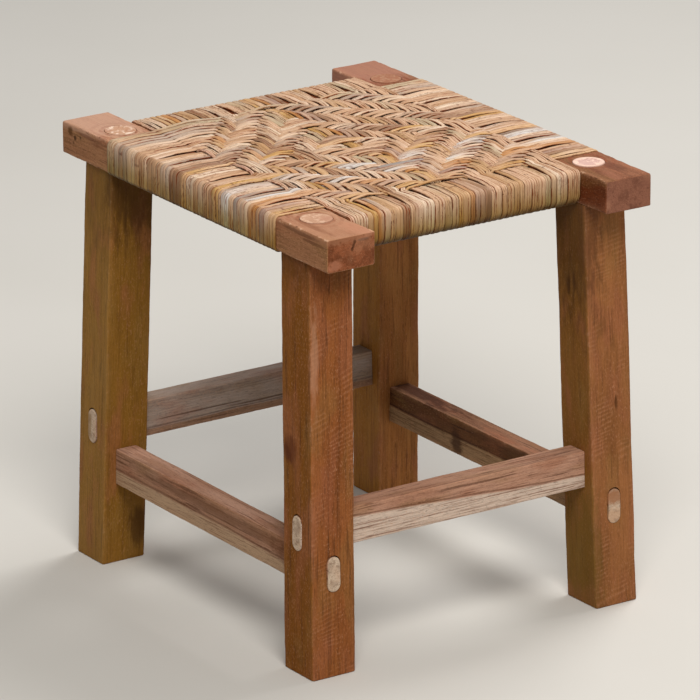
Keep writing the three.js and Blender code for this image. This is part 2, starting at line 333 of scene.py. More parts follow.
# Noises in the wood: stretch along the grain and across it, detail, roughness, warp
WOOD_NOISES = {
    "bend": ((3.5, 9), 2),
    "ripple": ((18, 150), 2),
    "soft": ((7, 60), 3),
    "fibre": ((45, 1700), 3, 0.6),
    "patch": ((9, 40), 3),
    "torn": ((60, 240), 3, 0.6),
    "cloud": ((16, 45), 2),
    "strands": ((7, 430), 4, 0.62),
    "threads": ((16, 330), 2, 0.5, 0.15),
    "thin": ((14, 950), 3, 0.65),
    "dashes": ((110, 1500), 1),
    "flecks": ((170, 620), 2),
    "nap": ((420, 800), 3, 0.65),
    "wander": ((26, 8), 1),
    "sawn": ((24, 50), 3),
    "dots": ((0, 1100), 2),
    "blotch": ((30, 90), 3, 0.6),
    "spread": ((30, 190), 3, 0.5, 0.8),
    "rubbed": ((50, 90), 3),
    "chips": ((170, 260), 3, 0.6),
}


def wood_material(name, axis, tones, rings=(3.2, 0.9), pith=(14, -9), sapwood=None, pores=0.5,
                  saw=0.0, end_tones=None, streak=0.5, lines=0.5, fuzz=0.3, seed=0.0, disc=None,
                  blotches=0.6, faces=(), spots=(), halos=(), arris=0.25, rim=0.1, chipped=0.12,
                  disc_spots=()):
    """Solid wood. The grain attribute holds a place along the grain and across it, in metres."""
    light, dark, deep = tones
    make = Shader(name)
    local = make.attribute("grain", "Vector")
    grain = make.vector("ADD", local, (seed, seed * 0.37, seed * 0.61))
    normal = make.coordinate("Normal")
    noises = make.noises(grain, WOOD_NOISES)
    soft, torn, nap = noises["soft"], noises["torn"], noises["nap"]

    # Rings round the pith, bent slowly along the grain, with a sharp outer side to each
    from_pith = make.vector("ADD", local, (0, pith[0] * MM, pith[1] * MM))
    distance = make.length(make.vector("MULTIPLY", from_pith, (0, 1, 1)))
    width, wander = rings
    phase = make.maths("DIVIDE", distance, width * MM)
    phase = make.add(phase, make.times(noises["bend"], 7.0 * wander))
    phase = make.add(phase, make.times(noises["ripple"], 0.5 * wander))
    turn = make.maths("FRACT", phase)
    ring = make.times(make.remap(turn, 0.25, 0.9), make.remap(turn, 0.9, 1.0, 1.0, 0.0))
    ring = make.times(ring, make.remap(soft, 0.3, 0.7, 0.1, 1.0))
    colour = make.mix(make.times(ring, streak), light, dark)
    colour = make.tint(colour, dark, noises["patch"], 0.42, 0.68, 0.0, 0.6)

    # Faces planed or weathered otherwise than the rest; some tones are painted shade and sheen
    for direction, tone, share in faces:
        colour = make.tint(colour, tone, make.dot(normal, direction), 0.5, 0.85, 0.0, share)

    # Clouds of redder and of greener brown, and dark streaks, some broad and some fine
    colour = make.tints(colour, noises, (
        (CLOUD_RED, "cloud", 0.5, 0.68, 0.0, 0.4),
        (CLOUD_GREEN, "cloud", 0.32, 0.48, 0.25, 0.0),
        (deep, "strands", 0.5, 0.7, 0.0, lines),
        (deep, "threads", 0.60, 0.68, 0.0, 1.3 * lines),
    ))

    # Arcs of grain that bend round a tenon's end, on the upper face
    upward = make.remap(make.dot(normal, (0, 0, 1)), 0.8, 0.95)
    for x, y in halos:
        around = make.vector("SUBTRACT", local, (x * MM, y * MM, 0))
        around = make.length(make.vector("MULTIPLY", around, (0.9, 1, 0)))
        around = make.add(around, make.swing(soft, 6 * MM))
        for radius, reach, share in HALO_RINGS:
            share = make.remap(make.off(around, radius), 0.3 * reach, reach, share, 0.0)
            share = make.times(make.times(share, upward), make.remap(torn, 0.34, 0.58, 0.25, 1.0))
            colour = make.mix(share, colour, HALO_RED)

    if sapwood:
        # A pale layer on one side, with a wavy border and dark lines of grain in it
        tone, line, direction, level = sapwood
        side = make.add(make.dot(local, direction), make.swing(soft, 8 * MM))
        border = make.off(side, (level - 1.6) * MM)
        colour = make.tint(colour, deep, border, 0.3 * MM, 1.3 * MM, 0.5, 0.0)
        sap = make.tint(tone, line, noises["thin"], 0.5, 0.64, 0.0, 0.85)
        colour = make.tint(colour, sap, side, (level - 1.1) * MM, (level + 1.1) * MM)

    # Fibres, pores as short dark dashes along the grain, and a few pale flecks
    colour = make.scaled(colour, [make.remap(noises["fibre"], 0.28, 0.74, 0.84, 1.11)] * 3)
    colour = make.tint(colour, deep, noises["dashes"], 0.60, 0.70, 0.0, pores)
    colour = make.tint(colour, light, noises["flecks"], 0.66, 0.74, 0.0, 0.3)

    # Rough fibres that the saw left standing, pale on a darker ground
    thick = make.remap(noises["patch"], 0.36, 0.62, 0.55, 1.25)
    pale = make.times(make.remap(nap, 0.53, 0.74, 0.0, 0.75 * fuzz), thick)
    colour = make.mix(pale, colour, PALE_FIBRE)
    colour = make.tint(colour, deep, nap, 0.28, 0.47, 0.6 * fuzz, 0.0)
    height = noises["fibre"]
    for layer, share in (("dashes", -1.2), ("strands", -0.8), ("nap", fuzz)):
        height = make.add(height, make.times(noises[layer], share))

    # Slanting marks of the saw, soft and close together, in patches
    if saw:
        tilt = make.add(make.dot(grain, SAW_SLANT), make.times(soft, 3 * MM))
        phase = make.add(make.maths("DIVIDE", tilt, SAW_PITCH), make.times(noises["wander"], 5.0))
        marks = make.maths("SINE", make.times(phase, 2 * math.pi))
        patches = make.remap(noises["sawn"], 0.45, 0.65, 0.0, saw)
        patches = make.times(patches, make.remap(nap, 0.3, 0.6, 0.4, 1.2))
        facing = make.maths("ABSOLUTE", make.dot(normal, (1, 0, 0)))
        patches = make.times(patches, make.remap(facing, 0.3, 0.7, 0.35, 1.0))
        marks = make.times(marks, patches)
        height = make.add(height, make.times(marks, 0.4))
        colour = make.tint(colour, PALE_FIBRE, marks, 0.1, 1.0, 0.0, 0.13)
        colour = make.tint(colour, deep, marks, -1.0, -0.1, 0.12, 0.0)

    # Ends: darker, with faint arcs of rings, pores as dots and fine checks
    end_light, end_dark = end_tones or tones[1:]
    arcs = make.tint(end_light, end_dark, ring, 0.1, 0.9, 0.0, 0.16)
    arcs = make.tints(arcs, noises, (
        (end_dark, "dots", 0.54, 0.7, 0.0, 0.6),
        (end_dark, "blotch", 0.42, 0.7, 0.0, blotches),
        (end_dark, "torn", 0.56, 0.66, 0.0, 0.45),
        (PALE_FIBRE, "cloud", 0.52, 0.64, 0.0, 0.2),
        (PALE_FIBRE, "nap", 0.54, 0.72, 0.0, 0.5 * fuzz),
    ))
    facing = make.maths("ABSOLUTE", make.dot(normal, axis))
    colour = make.tint(colour, arcs, facing, 0.75, 0.92)

    def dabbed(ground, dabs):
        """A colour with softly ragged patches of other tones: knots, stains, dark places, painted
        shadows.
        """
        for place, size, tone, share in dabs:
            away = make.vector("SUBTRACT", local, [value * MM for value in place])
            away = make.length(make.vector("DIVIDE", away, [value * MM for value in size]))
            away = make.add(away, make.swing(torn, 1.4))
            ground = make.tint(ground, tone, away, 0.45, 1.1, share, 0.0)
        return ground

    colour = dabbed(colour, spots)
    if disc:
        # The end of a round tenon, seen on the rail
        disc_light, disc_dark, smear = disc
        level = make.part(make.coordinate("Object"), "Z")
        radius = make.length(make.vector("MULTIPLY", local, (0, 1, 1)))
        face = make.tint(disc_light, disc_dark, ring, 0.2, 0.9, 0.0, 0.6)
        face = make.tint(face, smear, noises["spread"], 0.5, 0.62, 0.0, 0.85)
        face = make.tint(face, smear, radius, 9 * MM, 12.5 * MM, 0.0, rim)
        face = make.tint(face, disc_dark, radius, 13 * MM, 14.6 * MM, 0.0, 0.6)
        face = make.tint(face, disc_dark, noises["dots"], 0.56, 0.72, 0.0, 0.5)
        face = dabbed(face, disc_spots)
        colour = make.tint(colour, face, level, RAIL_TOP - 1.5 * MM, RAIL_TOP - 0.5 * MM)

    # Arrises: rubbed lighter and chipped in places. Under the cane the wood has painted shade.
    edge = make.attribute("edge")
    worn = make.times(edge, make.remap(noises["rubbed"], 0.34, 0.62, 0.25, 1.0))
    colour = make.mix(make.times(worn, arris), colour, PALE_FIBRE)
    near = make.remap(edge, 0.2, 0.75)
    for tone, *reach in ((deep, 0.36, 0.46, chipped, 0.0), (CHIP_PALE, 0.56, 0.64, 0.0, chipped)):
        chips = make.times(make.remap(noises["chips"], *reach), near)
        colour = make.mix(chips, colour, tone)
    # Painted shade where cane covers the wood
    colour = make.mix(make.attribute("shaded_under_cane"), colour, CANE_SHADE)

    roughness = make.remap(noises["patch"], 0.3, 0.7, 0.6, 0.76)
    return make.finish(colour, roughness, height, WOOD_BUMP, WOOD_SPECULAR)


# Meshes

CORNER_STEPS = 5
SIDE_STEPS = 12
CAP_SHARES = (0.94, 0.82, 0.66, 0.48, 0.3, 0.14)
# Wear along an arris, slow and quick, in steps per metre
SLOW_WEAR = 14
QUICK_WEAR = 110
ARRIS_REACH = 2.1 * MM


def link(name, data):
    made = bpy.data.objects.new(name, data)
    bpy.context.scene.collection.objects.link(made)
    return made


def new_piece(name, vertices, faces, material):
    mesh = bpy.data.meshes.new(name)
    mesh.from_pydata([tuple(v) for v in vertices], [], faces)
    mesh.validate()
    mesh.update()
    mesh.materials.append(material)
    return link(name, mesh)


def tube_faces(rings, points, closed):
    """Quads between neighbouring rings of the same number of points."""
    faces = []
    for ring in range(rings if closed else rings - 1):
        a, b = ring * points, (ring + 1) % rings * points
        for k in range(points):
            n = (k + 1) % points
            faces.append((a + k, a + n, b + n, b + k))
    return faces


def solid(name, rings, material=None):
    """Closed piece through rings of points, which ends on the middles of the outer two."""
    rings = np.array(rings)
    count, points = rings.shape[:2]
    vertices = np.concatenate([rings.reshape(-1, 3), [rings[0].mean(0), rings[-1].mean(0)]])
    faces = tube_faces(count, points, False)
    first, last = count * points, count * points + 1
    top = (count - 1) * points
    for k in range(points):
        n = (k + 1) % points
        faces += [(first, n, k), (last, top + k, top + n)]
    return new_piece(name, vertices, faces, material)


def cap(ring, middle):
    """Rings that shrink from an outer one towards a middle."""
    return [middle + (ring - middle) * share for share in CAP_SHARES]


def outline(width, height, radii):
    """Rounded rectangle as points, counter-clockwise, with a radius for each corner."""
    points = []
    signs = [(1, -1), (1, 1), (-1, 1), (-1, -1)]
    middles = [(x * (width / 2 - r), y * (height / 2 - r)) for (x, y), r in zip(signs, radii)]
    spread = [(1 - math.cos(math.pi * k / SIDE_STEPS)) / 2 for k in range(1, SIDE_STEPS)]

    def on_corner(corner, angle):
        direction = np.array([math.cos(angle), math.sin(angle)])
        return middles[corner] + radii[corner] * direction

    for corner in range(4):
        for step in range(CORNER_STEPS + 1):
            angle = math.pi / 2 * (corner - 1) + math.pi / 2 * step / CORNER_STEPS
            points.append(on_corner(corner, angle))
        start, end = points[-1], on_corner((corner + 1) % 4, angle)
        points += [start + (end - start) * share for share in spread]
    return np.array(points)


def round_ended(shape, width, height):
    """Points of a slot outline, or of a circle where width and height agree, in the
    directions of another outline's points."""
    half = (height - width) / 2
    radius = width / 2
    scaled = shape * (width / np.ptp(shape[:, 0]), height / np.ptp(shape[:, 1]))
    directions = scaled / np.linalg.norm(scaled, axis=1, keepdims=True)
    cos, sin = np.abs(directions).T
    flat = radius / np.maximum(cos, 1e-9)
    arc = half * sin + np.sqrt(np.maximum(half ** 2 * sin ** 2 - half ** 2 + radius ** 2, 0))
    reach = np.where(flat * sin <= half, flat, arc)
    return directions * reach[:, None]


def worn_radii(place, seed, least, usual, chipped=0.35):
    """Corner radii of a section at a place along a piece. They wander with wear."""
    radii = []
    for corner in range(4):
        slow = noise.noise(Vector((place * SLOW_WEAR, corner * 3.7, seed)))
        quick = noise.noise(Vector((place * QUICK_WEAR, corner * 5.1, seed + 9)))
        radii.append(max(least, usual * (1 + 0.7 * slow + chipped * max(quick, 0))))
    return radii


def bar_ring(axis, place, across, level, points):
    """Points round a bar along X (axis 0) or Y (axis 1), at one place on it or at one each."""
    places, height = np.broadcast_to(place, len(points)), level + points[:, 1]
    if axis:
        return np.column_stack([across - points[:, 0], places, height])
    return np.column_stack([places, across + points[:, 0], height])


def bar_places(axis, across, level):
    """Function from a point to its place along and across a bar."""
    return lambda point: (point[axis], point[1 - axis] - across, point.z - level)


def smooth_shading(piece, degrees=38):
    piece.data.shade_smooth()
    piece.data.set_sharp_from_angle(angle=math.radians(degrees))


def roughen(piece, depth, sizes, keep=lambda point: 1.0):
    """Moves the surface in and out by a little noise of several sizes, in metres."""
    mesh = piece.data
    normals = [v.normal.copy() for v in mesh.vertices]
    for vertex, normal in zip(mesh.vertices, normals):
        shift = 0.0
        for index, size in enumerate(sizes):
            shift += noise.noise(vertex.co / size + Vector((index * 7.3, SEED, 0))) / (index + 1)
        vertex.co += normal * shift * depth * keep(vertex.co)
    mesh.update()


def cut(piece, cutters):
    """Takes the cutters' solids out of a piece."""
    for cutter in cutters:
        modifier = piece.modifiers.new("cut", "BOOLEAN")
        modifier.object = cutter
        modifier.operation = "DIFFERENCE"
        modifier.solver = "EXACT"
    bpy.context.view_layer.update()
    evaluated = piece.evaluated_get(bpy.context.evaluated_depsgraph_get())
    mesh = bpy.data.meshes.new_from_object(evaluated)
    piece.modifiers.clear()
    piece.data = mesh
    for cutter in cutters:
        bpy.data.objects.remove(cutter)


def mark(piece, name, values):
    """Writes a number or a vector for each vertex, which the materials read."""
    values = np.array(values, np.float32)
    kind, key = ("FLOAT", "value") if values.ndim == 1 else ("FLOAT_VECTOR", "vector")
    attribute = piece.data.attributes.new(name, kind, "POINT")
    attribute.data.foreach_set(key, values.ravel())


def make_wood(node, rings, material, wear, places, size, cutters=(),
              shaded_under_cane=lambda point: 0.0):
    """Wooden piece through rings: worn, cut, and marked with its place in the grain, how near
    it is to an arris, and how much painted shade it takes where cane covers it."""
    piece = solid(node + "_wood", rings, material)
    roughen(piece, *wear)
    if cutters:
        cut(piece, cutters)
    smooth_shading(piece)
    vertices = piece.data.vertices
    grain = np.array([places(v.co) for v in vertices])
    width, height = (half - np.abs(grain[:, k + 1]) for k, half in enumerate(size))
    mark(piece, "grain", grain)
    mark(piece, "edge", np.exp(-(np.maximum(width, 0) + np.maximum(height, 0)) / ARRIS_REACH))
    mark(piece, "shaded_under_cane", [shaded_under_cane(v.co) for v in vertices])
    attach(piece, BODY)
    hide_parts(node)


# Legs. A corner of the frame is the sign of its x and the sign of its y.

LEG_RINGS = 120
LEG_TENON_RINGS = 12
LEG_ARRIS = (1.1 * MM, 2.0 * MM)
FOOT_ARRIS = (0.8 * MM, 1.4 * MM)
FOOT_BEVEL = 0.9 * MM
FOOT_SIDE = LEG_SIDE - 1.6 * MM
LEG_ROUGHNESS = (0.28 * MM, (45 * MM, 14 * MM, 5 * MM))


def leg_middle(corner, z):
    drop = (RAIL_UNDER - z) / RAIL_UNDER
    x, y = corner * (LEG_TOP + LEG_SPLAY * drop)
    return np.array([x, y, z])


def leg_ring(corner, z, points):
    return leg_middle(corner, z) + np.pad(points, ((0, 0), (0, 1)))


def middle_of(box, axis):
    return (box[0][axis] + box[1][axis]) / 2


def slot_cutter(corner, axis, height):
    """Prism of a stretcher's tenon and its clearance, through a leg. The slot was cut a
    little high, which leaves a dark gap over the tenon."""
    base = outline(*SLOT_TENON, [3 * MM] * 4)
    width, tall = (size + 2 * JOINT_GAP for size in SLOT_TENON)
    slot = round_ended(base, width + SLOT_GAP / 3, tall + SLOT_GAP) + (0, SLOT_GAP / 2)
    middle = leg_middle(corner, height)
    reach = LEG_SIDE / 2 + LEG_SPLAY[0] + CUT_OVERRUN
    places = middle[axis] + np.linspace(-reach, reach, 12)
    return solid("cutter", [bar_ring(axis, p, middle[1 - axis], height, slot) for p in places])


def round_cutter(corner):
    """Cylinder of a leg's tenon and its clearance, on the leg's slant."""
    base = outline(ROUND_TENON, ROUND_TENON, [3 * MM] * 4)
    circle = round_ended(base, ROUND_TENON + 2 * JOINT_GAP, ROUND_TENON + 2 * JOINT_GAP)
    levels = np.linspace(RAIL_UNDER - CUT_OVERRUN, RAIL_TOP + CUT_OVERRUN, 10)
    return solid("cutter", [leg_ring(corner, z, circle) for z in levels])


def make_leg(name, corner, material):
    seed = corner[0] * 3 + corner[1] * 1.7
    foot = outline(FOOT_SIDE, FOOT_SIDE, worn_radii(0, seed, *FOOT_ARRIS))
    foot = leg_ring(corner, 0, foot)
    rings = cap(foot, leg_middle(corner, 0))[::-1] + [foot]
    for z in np.linspace(FOOT_BEVEL, RAIL_UNDER - 0.3 * MM, LEG_RINGS):
        points = outline(LEG_SIDE, LEG_SIDE, worn_radii(z, seed, *LEG_ARRIS))
        rings.append(leg_ring(corner, z, points))

    # The shoulder, and the round tenon above it
    square = outline(LEG_SIDE, LEG_SIDE, [1.5 * MM] * 4)
    circle = round_ended(square, ROUND_TENON, ROUND_TENON)
    rings += [leg_ring(corner, RAIL_UNDER, points) for points in (square * 0.985, circle * 1.25)]
    levels = np.linspace(RAIL_UNDER, ROUND_TENON_TOP - 0.6 * MM, LEG_TENON_RINGS)
    rings += [leg_ring(corner, z, circle) for z in levels]
    top = leg_ring(corner, ROUND_TENON_TOP, circle * 0.975)
    rings += [top] + cap(top, leg_middle(corner, ROUND_TENON_TOP))

    def wear(point):
        if point.z < 0.5 * MM:
            return 0.0
        return 0.3 if point.z > RAIL_UNDER - 2 * MM else 1.0

    def places(point):
        middle = leg_middle(corner, point.z)
        return point.z, point.x - middle[0], point.y - middle[1]

    cutters = [slot_cutter(corner, axis, middle_of(box, 2)) for axis, box in enumerate(STRETCHERS)]
    make_wood(name, rings, material, (*LEG_ROUGHNESS, wear), places,
              (LEG_SIDE / 2, LEG_SIDE / 2), cutters)


# Rails

RAIL_ARRIS = (0.7 * MM, 1.5 * MM, 1.3)
RAIL_END_BEVEL = 0.8 * MM
RAIL_END_INSET = 1.4 * MM
RAIL_ROUGHNESS = (0.4 * MM, (40 * MM, 12 * MM, 4 * MM))
WRAPPED_WEAR = 0.14
CROSS_ROUGHNESS = (0.1 * MM, (40 * MM, 12 * MM))
# Shares of painted shade on wood under the cane
SHADE_UNDER_CANE = 0.9
HALF_SHADE_UNDER_CANE = 0.25


def stub_cutter(corner):
    """Block of a cross rail's stub tenon and its clearance."""
    points = outline(*(size + 2 * JOINT_GAP for size in STUB_TENON), [1.2 * MM] * 4)
    reaches = corner[1] * (RAIL_LOW.y - CUT_OVERRUN), corner[1] * (CROSS_HIGH.y + JOINT_GAP)
    middle_x = corner[0] * CROSS_MIDDLE_X
    places = np.linspace(min(reaches), max(reaches), 4)
    return solid("cutter", [bar_ring(1, y, middle_x, RAIL_LEVEL, points) for y in places])


def make_long_rail(word, side, material):
    middle_y = side * RAIL_MIDDLE_Y

    def ring(x, inset=0.0):
        radii = [WRAPPED_EDGE] * 4
        if abs(x) >= WRAPPED_HALF_X:
            radii = worn_radii(x, side * 5.3, *RAIL_ARRIS)
        points = outline(RAIL_WIDTH - inset, RAIL_HEIGHT - inset, radii)
        return bar_ring(0, x, middle_y, RAIL_LEVEL, points)

    wrapped = np.linspace(-WRAPPED_HALF_X + 1 * MM, WRAPPED_HALF_X - 1 * MM, 50)
    bare = np.linspace(WRAPPED_HALF_X + 0.5 * MM, RAIL_HALF_LENGTH - RAIL_END_BEVEL, 34)
    rings = [ring(x) for x in np.concatenate([-bare[::-1], wrapped, bare])]
    for sign in (-1, 1):
        end = ring(sign * RAIL_HALF_LENGTH, RAIL_END_INSET)
        ends = [end] + cap(end, np.array([sign * RAIL_HALF_LENGTH, middle_y, RAIL_LEVEL]))
        rings = rings + ends if sign > 0 else ends[::-1] + rings

    def wear(point):
        return WRAPPED_WEAR if abs(point.x) < WRAPPED_HALF_X else 1.0

    def shaded_under_cane(point):
        return SHADE_UNDER_CANE if abs(point.x) < WRAPPED_HALF_X - 0.5 * MM else 0.0

    cutters = [make((sign, side)) for make in (round_cutter, stub_cutter) for sign in (-1, 1)]
    make_wood("rail_" + word, rings, material, (*RAIL_ROUGHNESS, wear),
              bar_places(0, middle_y, RAIL_LEVEL), (RAIL_WIDTH / 2, RAIL_HEIGHT / 2),
              cutters, shaded_under_cane)


def make_cross_rail(word, side, material):
    middle_x = side * CROSS_MIDDLE_X
    shoulder = RAIL_LOW.y - 0.05 * MM
    edges = [CROSS_UNDER_EDGE, WRAPPED_EDGE, WRAPPED_EDGE, CROSS_UNDER_EDGE]
    body = outline(CROSS_WIDTH, RAIL_HEIGHT, edges)
    stub = body * (STUB_TENON[0] / CROSS_WIDTH, STUB_TENON[1] / RAIL_HEIGHT)
    half = []
    for points, low, high, count in ((body, 0, shoulder, 40), (stub, shoulder, CROSS_HIGH.y, 4)):
        places = np.linspace(low, high, count)
        half += [bar_ring(1, y, middle_x, RAIL_LEVEL, points) for y in places]
    half += cap(half[-1], np.array([middle_x, CROSS_HIGH.y, RAIL_LEVEL]))
    mirrored = [ring * (1, -1, 1) for ring in half[:0:-1]]

    def shaded_under_cane(point):
        return SHADE_UNDER_CANE if abs(point.y) < WOVEN_HALF_Y - 2 * MM else HALF_SHADE_UNDER_CANE

    make_wood("cross_rail_" + word, mirrored + half, material, CROSS_ROUGHNESS,
              bar_places(1, middle_x, RAIL_LEVEL), (CROSS_WIDTH / 2, RAIL_HEIGHT / 2),
              shaded_under_cane=shaded_under_cane)


# Stretchers

STRETCHER_RINGS = 119
STRETCHER_ARRIS = (0.6 * MM, 1.2 * MM)
STRETCHER_ROUGHNESS = (0.3 * MM, (50 * MM, 14 * MM, 5 * MM))
WEAR_SPAN = 0.15
TORN_PER_METRE = 300


def make_stretcher(word, axis, side, material):
    """Bar between two legs, with shoulders on the slant of their inner faces and a
    round-ended tenon through each."""
    box = STRETCHERS[axis]
    across, level = side * middle_of(box, 1 - axis), middle_of(box, 2)
    thickness, height = (box[1][k] - box[0][k] for k in (1 - axis, 2))
    seed = side * 2.9 + (11, 23)[axis]

    def leg_reach(heights, offset):
        """Distance from the middle to a leg's face at heights on the bar."""
        drop = (RAIL_UNDER - level - heights) / RAIL_UNDER
        return LEG_TOP[axis] + LEG_SPLAY[axis] * drop + offset

    def ring(share, points, offset):
        reach = leg_reach(points[:, 1], offset) * share
        return bar_ring(axis, reach, across, level, points)

    inner = -LEG_SIDE / 2 - JOINT_GAP
    outer = LEG_SIDE / 2 + TENON_PROUD
    rings = []
    for share in np.linspace(-1, 1, STRETCHER_RINGS):
        radii = worn_radii(share * WEAR_SPAN, seed, *STRETCHER_ARRIS)
        rings.append(ring(share, outline(thickness, height, radii), inner))
    tenon = round_ended(outline(thickness, height, [1.2 * MM] * 4), *SLOT_TENON)
    for sign in (-1, 1):
        ends = [ring(sign, tenon, offset) for offset in np.linspace(inner, outer - 0.5 * MM, 10)]
        places = [Vector((a, b, seed + sign)) for a, b in tenon * TORN_PER_METRE]
        torn = np.array([0.96 - 0.07 * abs(noise.noise(place)) for place in places])
        end = ring(sign, tenon * torn[:, None], outer)
        ends += [end] + cap(end, end.mean(0))
        rings = rings + ends if sign > 0 else ends[::-1] + rings
    limit = leg_reach(0, inner) - 1 * MM

    def wear(point):
        return 1.0 if abs(point[axis]) < limit else 0.2

    make_wood("stretcher_" + word, rings, material,
              (*STRETCHER_ROUGHNESS, wear), bar_places(axis, across, level),
              (thickness / 2, height / 2))


# Cane: how the turns lie

# Tones of neighbouring turns, from left to right and from front to back
CROSSWISE_RUNS = (
    "2 olive, 3 grey, 2 pale, 2 tan, 1 pale, 2 tan, 1 pale, 3 grey, 3 brown, 2 golden, 2 pale, "
    "2 tan, 1 brown, 2 tan, 2 golden, 1 grey, 2 silver, 1 pale, 1 slate, 1 grey, 1 silver, "
    "1 pale, 2 orange, 1 tan, 1 mauve, 1 tan, 2 golden"
)
LENGTHWISE_RUNS = (
    "1 pink, 2 pale, 1 honey, 1 golden, 1 orange, 1 grey, 2 honey, 1 brown, 1 honey, 1 brown, "
    "3 pale, 2 beige, 2 olive, 2 golden, 1 orange, 2 mauve, 1 brown, 3 beige, 3 honey, "
    "3 beige, 2 olive, 1 pale, 3 beige"
)
TURN_WIDTHS = (0.66, 1.34)
OUTER_REACH = 0.35 * MM

# Turns that float together draw close. Reaches are in turns, pushes are shares.
GROUP_REACH = 2.5
RIM_PUSH = 0.35
OWN_PUSH = 0.7
NEXT_PUSH = 0.15
SIDE_PUSH = 1.5 * MM
FAN_PUSH = 3.2 * MM
FAN_POWER = 0.5

# Widths of a turn, as shares: at the rail's shoulder, where it dives, and at other borders
FAN_WIDTH = 0.77
DIVE_WIDTH = 0.83
FLOAT_WIDTH = 0.93

# Heights of a turn on the top of the seat
DIVE_HALF = 1.9 * MM
DIVE_SHARES = (-1, -0.5, 0, 0.5, 1)
OVER_RISE = 0.3 * MM
UNDER_SAG = 0.09 * MM
RISING_TURNS = 7
RAIL_ARCH = 0.9 * MM
RAIL_STEP = 7 * MM


def spelled_out(runs):
    pairs = [run.split() for run in runs.split(", ")]
    return [tone for count, tone in pairs for _ in range(int(count))]


def crosswise_is_over(i, j):
    """Twill of five over and five under, mirrored at both middles of the seat."""
    outward = abs(i - CROSSWISE_TURNS // 2)
    half = LENGTHWISE_TURNS // 2
    from_middle = j - half if j >= half else half - 1 - j
    if i <= LONG_FLOAT_REACH and i + j < LONG_FLOAT_TURNS:
        return True
    return (outward + from_middle + TWILL_PHASE) % (2 * FLOAT_TURNS) < FLOAT_TURNS


def turn_edges(count, half, rng):
    """Borders between turns of uneven widths that fill a width."""
    widths = rng.uniform(*TURN_WIDTHS, count)
    places = np.concatenate([[0], np.cumsum(widths)])
    return (places / places[-1] * 2 - 1) * half


def drawn_together(over):
    """Sideways push on each turn at each crossing, from -1 to 1. Turns that float
    together close up, and a slit opens where the others come through."""
    count, crossings = over.shape
    push = np.zeros(over.shape)
    for j in range(crossings):
        borders = [i for i in range(1, count) if over[i, j] != over[i - 1, j]]
        for start, end in zip([0] + borders, borders + [count]):
            for i in range(start, end):
                left, right = (max(0, 1 - (steps + 0.5) / GROUP_REACH)
                               for steps in (i - start, end - i - 1))
                left *= 1 if start > 0 else -RIM_PUSH
                right *= 1 if end < count else -RIM_PUSH
                push[i, j] = left - right
    padded = np.pad(push, ((0, 0), (1, 1)), "edge")
    return OWN_PUSH * push + NEXT_PUSH * (padded[:, 2:] + padded[:, :-2])


def smooth_step(share):
    share = np.clip(share, 0, 1)
    return share * share * (3 - 2 * share)


def eased(knots, values, places):
    """Curve through values at knots, level at each of them."""
    knots, values = np.asarray(knots), np.asarray(values)
    index = np.clip(np.searchsorted(knots, places) - 1, 0, len(knots) - 2)
    share = smooth_step((places - knots[index]) / (knots[index + 1] - knots[index]))
    return values[index] + (values[index + 1] - values[index]) * share


def top_run(over, push, borders, flat, arch, rng):
    """Stations of a turn along the top of the seat: place, height, sideways shift and
    share of its width."""
    middles = (borders[1:] + borders[:-1]) / 2
    levels = np.where(over, 1.0, -1.0)
    changes = np.diff(np.concatenate([[0], levels, [0]]))
    dives = borders[changes != 0]
    rails = np.arange(flat, borders[-1] + 3 * MM, -RAIL_STEP)
    stations = [middles, borders, rails, -rails]
    stations += [dives + DIVE_HALF * share for share in DIVE_SHARES]
    places = np.unique(np.round(np.concatenate(stations), 5))
    places = places[np.abs(places) <= flat + 1e-6]

    height = np.zeros(len(places))
    for border, change in zip(borders, changes):
        height += change * CANE_LIFT * smooth_step((places - border) / DIVE_HALF / 2 + 0.5)
    turning = np.flatnonzero(changes)
    for start, end in zip(turning, turning[1:]):
        low, high = borders[start], borders[end]
        inside = (places > low) & (places < high)
        rise = (OVER_RISE if levels[start] > 0 else UNDER_SAG) * min(end - start, RISING_TURNS)
        rise *= rng.uniform(0.4, 1.4)
        bulge = np.sin(math.pi * (places[inside] - low) / (high - low)) ** 2
        height[inside] += levels[start] * rise * bulge

    # Between the rail's shoulder and the first crossing the turns fan in towards groups
    field = borders[-1]
    on_rail = np.clip((flat - np.abs(places)) / (flat - field), 0, 1)
    height += arch * np.sin(math.pi * on_rail) ** 2 * (np.abs(places) > field)
    draw = push * rng.uniform(0.5, 1.5) * rng.uniform(0.85, 1.15, len(push))
    draw += rng.normal(0, 0.12, len(push))
    ends = FAN_PUSH * push[[0, -1]] * rng.uniform(0.75, 1.25, 2)
    knots = np.concatenate([[-field], middles, [field]])
    values = np.concatenate([ends[:1], SIDE_PUSH * draw, ends[1:]])
    shift = on_rail ** FAN_POWER * eased(knots, values, places)

    squeezed = np.where(changes != 0, DIVE_WIDTH, FLOAT_WIDTH)
    squeezed = squeezed * rng.uniform(0.92, 1.06, len(borders))
    squeezed[[0, -1]] = FAN_WIDTH * rng.uniform(0.9, 1.08, 2)
    knots = np.concatenate([[-flat], borders, [flat]])
    width = np.interp(places, knots, np.concatenate([[1], squeezed, [1]]))
    return places, height, shift, width


# Cane: the path of a turn round the rails, and its section

